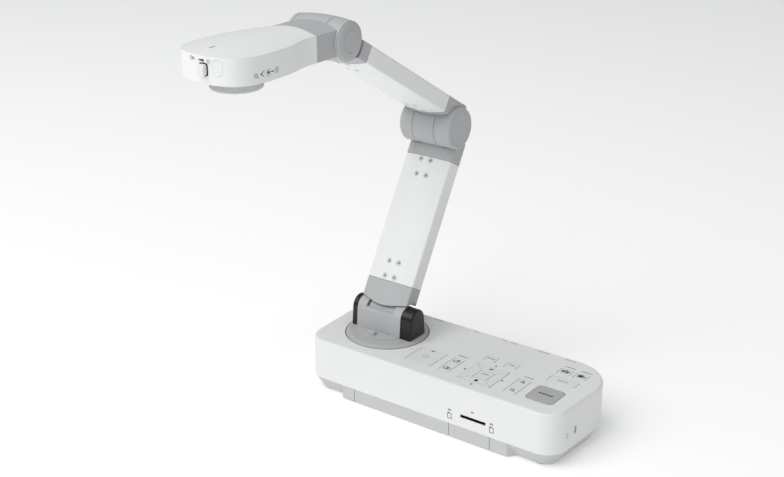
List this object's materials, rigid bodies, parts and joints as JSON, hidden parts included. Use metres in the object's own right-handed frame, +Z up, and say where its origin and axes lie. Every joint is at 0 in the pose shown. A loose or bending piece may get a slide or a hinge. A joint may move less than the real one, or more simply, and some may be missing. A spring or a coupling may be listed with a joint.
{
  "type": "document camera",
  "caption": "desk document camera with keyed base, turntable, folding two-part arm, tilting camera head with turning lens ring and lamp switch",
  "frame": {"origin": "on the table under the centre of the base, between its four rubber feet", "axes": "+X to the right along the base, -Y towards the document being filmed, +Z up"},
  "size_m": [0.2612, 0.3035, 0.3519],
  "materials": {
    "casing_white": "fine textured moulded plastic, very light grey",
    "tray_grey": "textured moulded plastic, light grey",
    "joint_grey": "satin moulded plastic, mid grey",
    "arm_white": "satin moulded plastic, white",
    "cap_black": "satin black plastic",
    "key_white": "satin key cap, white",
    "key_grey": "satin key cap, grey",
    "foot_rubber": "matte light grey rubber",
    "screw_steel": "zinc plated steel",
    "plate_steel": "rolled steel sheet",
    "plate_dark": "black coated steel",
    "hinge_steel": "ground steel",
    "spine_aluminium": "extruded aluminium bar",
    "board_green": "circuit board with solder mask",
    "port_black": "black moulded socket",
    "port_steel": "nickel plated shell",
    "lens_black": "matt black barrel",
    "lens_glass": "coated optical glass",
    "window_clear": "frosted clear plastic",
    "indicator": "tinted light pipe"
  },
  "bodies": {
    "base": {"base_top_shell": "casing_white", "base_tray": "tray_grey", "rubber_feet": "foot_rubber", "tray_screws": "screw_steel", "steel_base_plate": "plate_steel", "main_board": "board_green", "key_board": "board_green", "card_socket": "port_black", "rear_port_panel": "tray_grey", "power_inlet": "port_black", "video_sockets": "port_steel", "usb_sockets": "port_steel", "security_slot_plate": "plate_dark", "turntable_bearing": "lens_black"},
    "turntable": {"turntable_disc": "joint_grey", "turntable_retainer": "plate_steel", "hinge_block": "joint_grey", "left_side_cap": "cap_black", "right_side_cap": "cap_black", "base_hinge_shaft": "hinge_steel"},
    "lower_arm": {"lower_arm_tube": "arm_white", "lower_arm_lower_cap": "joint_grey", "lower_arm_upper_cap": "joint_grey", "lower_arm_spine": "spine_aluminium", "lower_arm_screws": "screw_steel"},
    "upper_arm": {"upper_arm_tube": "arm_white", "upper_arm_elbow_cap": "joint_grey", "upper_arm_head_cap": "joint_grey", "upper_arm_spine": "spine_aluminium", "upper_arm_screws": "screw_steel", "elbow_shaft": "hinge_steel", "elbow_end_discs": "joint_grey"},
    "camera_head": {"head_neck": "joint_grey", "head_hinge_shaft": "hinge_steel", "head_hinge_discs": "joint_grey", "head_shell": "arm_white", "head_bottom_cover": "arm_white", "sensor_board": "board_green", "lamp_board": "board_green", "lamp_window": "window_clear", "front_window": "window_clear"},
    "lens_unit": {"lens_ring": "joint_grey", "lens_barrel": "lens_black", "lens_glass": "lens_glass"},
    "lamp_switch": {"lamp_switch_knob": "key_white"},
    "power_button": {"power_key": "key_white", "power_light": "indicator"},
    "source_button": {"source_rocker": "key_white"},
    "zoom_button": {"zoom_rocker": "key_white"},
    "menu_button": {"menu_key": "key_white"},
    "escape_button": {"escape_key": "key_white"},
    "up_button": {"up_key": "key_white"},
    "down_button": {"down_key": "key_white"},
    "left_button": {"left_key": "key_white"},
    "right_button": {"right_key": "key_white"},
    "enter_button": {"enter_key": "key_white"},
    "focus_button": {"focus_key": "key_grey"},
    "freeze_button": {"freeze_key": "key_white"},
    "capture_button": {"capture_key": "key_white"},
    "record_button": {"record_key": "key_white"}
  },
  "joints": [
    {"name": "turntable_turn", "type": "hinge", "parent": "base", "child": "turntable", "pos_m": [-0.0756, 0.0004, 0.0531], "axis": [0, 0, -1], "range_deg": [-90, 90]},
    {"name": "arm_raise", "type": "hinge", "parent": "turntable", "child": "lower_arm", "pos_m": [-0.0784, 0.002, 0.0686], "axis": [1, 0, 0], "range_deg": [-58, 30]},
    {"name": "elbow_fold", "type": "hinge", "parent": "lower_arm", "child": "upper_arm", "pos_m": [-0.0784, 0.07371, 0.22661], "axis": [1, 0, 0], "range_deg": [-90, 75]},
    {"name": "head_tilt", "type": "hinge", "parent": "upper_arm", "child": "camera_head", "pos_m": [-0.0785, -0.07655, 0.33417], "axis": [-1, 0, 0], "range_deg": [-45, 90]},
    {"name": "lens_turn", "type": "hinge", "parent": "camera_head", "child": "lens_unit", "pos_m": [-0.0875, -0.1695, 0.32], "axis": [0, 0, 1], "range_deg": [-90, 90]},
    {"name": "lamp_switch_slide", "type": "slide", "parent": "camera_head", "child": "lamp_switch", "axis": [1, 0, 0], "range_m": [-0.002, 0.002]},
    {"name": "power_press", "type": "slide", "parent": "base", "child": "power_button", "axis": [0, 0, -1], "range_m": [0, 0.0006], "stiffness_N_per_m": 1000, "springref_m": -0.0005},
    {"name": "menu_press", "type": "slide", "parent": "base", "child": "menu_button", "axis": [0, 0, -1], "range_m": [0, 0.0006], "stiffness_N_per_m": 1000, "springref_m": -0.0005},
    {"name": "escape_press", "type": "slide", "parent": "base", "child": "escape_button", "axis": [0, 0, -1], "range_m": [0, 0.0006], "stiffness_N_per_m": 1000, "springref_m": -0.0005},
    {"name": "up_press", "type": "slide", "parent": "base", "child": "up_button", "axis": [0, 0, -1], "range_m": [0, 0.0006], "stiffness_N_per_m": 1000, "springref_m": -0.0005},
    {"name": "down_press", "type": "slide", "parent": "base", "child": "down_button", "axis": [0, 0, -1], "range_m": [0, 0.0006], "stiffness_N_per_m": 1000, "springref_m": -0.0005},
    {"name": "left_press", "type": "slide", "parent": "base", "child": "left_button", "axis": [0, 0, -1], "range_m": [0, 0.0006], "stiffness_N_per_m": 1000, "springref_m": -0.0005},
    {"name": "right_press", "type": "slide", "parent": "base", "child": "right_button", "axis": [0, 0, -1], "range_m": [0, 0.0006], "stiffness_N_per_m": 1000, "springref_m": -0.0005},
    {"name": "enter_press", "type": "slide", "parent": "base", "child": "enter_button", "axis": [0, 0, -1], "range_m": [0, 0.0006], "stiffness_N_per_m": 1000, "springref_m": -0.0005},
    {"name": "focus_press", "type": "slide", "parent": "base", "child": "focus_button", "axis": [0, 0, -1], "range_m": [0, 0.0006], "stiffness_N_per_m": 1000, "springref_m": -0.0005},
    {"name": "freeze_press", "type": "slide", "parent": "base", "child": "freeze_button", "axis": [0, 0, -1], "range_m": [0, 0.0006], "stiffness_N_per_m": 1000, "springref_m": -0.0005},
    {"name": "capture_press", "type": "slide", "parent": "base", "child": "capture_button", "axis": [0, 0, -1], "range_m": [0, 0.0006], "stiffness_N_per_m": 1000, "springref_m": -0.0005},
    {"name": "record_press", "type": "slide", "parent": "base", "child": "record_button", "axis": [0, 0, -1], "range_m": [0, 0.0006], "stiffness_N_per_m": 1000, "springref_m": -0.0005},
    {"name": "source_rock", "type": "hinge", "parent": "base", "child": "source_button", "pos_m": [0.00855, -0.02075, 0.0462], "axis": [1, 0, 0], "range_deg": [-1.6, 1.6], "stiffness_Nm_per_rad": 2},
    {"name": "zoom_rock", "type": "hinge", "parent": "base", "child": "zoom_button", "pos_m": [0.0745, -0.02075, 0.0462], "axis": [1, 0, 0], "range_deg": [-1.6, 1.6], "stiffness_Nm_per_rad": 2}
  ]
}
